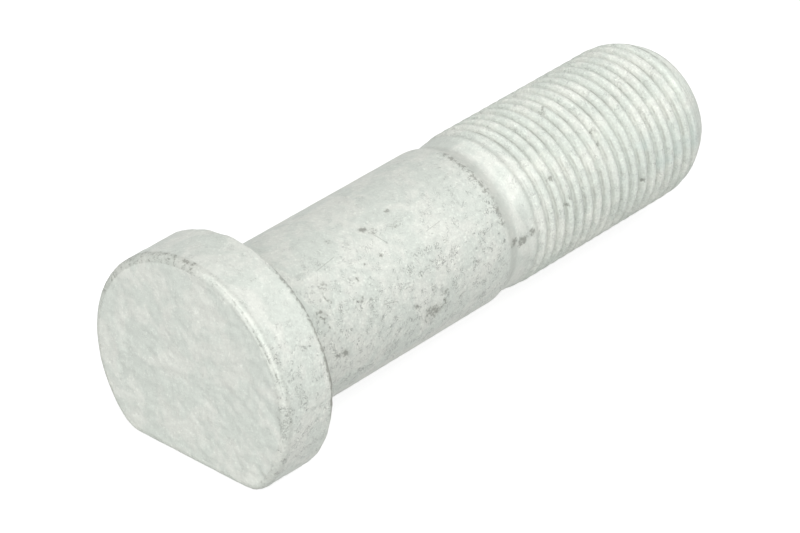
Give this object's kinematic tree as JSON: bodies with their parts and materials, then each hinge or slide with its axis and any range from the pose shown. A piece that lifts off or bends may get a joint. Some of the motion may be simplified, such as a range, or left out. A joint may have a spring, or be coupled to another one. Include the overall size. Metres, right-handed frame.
{
  "type": "wheel bolt",
  "caption": "Forged steel wheel bolt with a D-shaped head, a plain shank, a neck and a fine threaded end with a bevelled tip.",
  "frame": {"origin": "on the bolt's axis, in the plane of the seat under the head", "axes": "+X along the axis towards the threaded tip; the flat on the head faces -Z, so that the bolt lies as modelled"},
  "size_m": [0.0718, 0.0264, 0.0231],
  "materials": {
    "zinc_coated_steel": "matt"
  },
  "bodies": {
    "root": {"wheel_bolt": "zinc_coated_steel"}
  },
  "joints": []
}
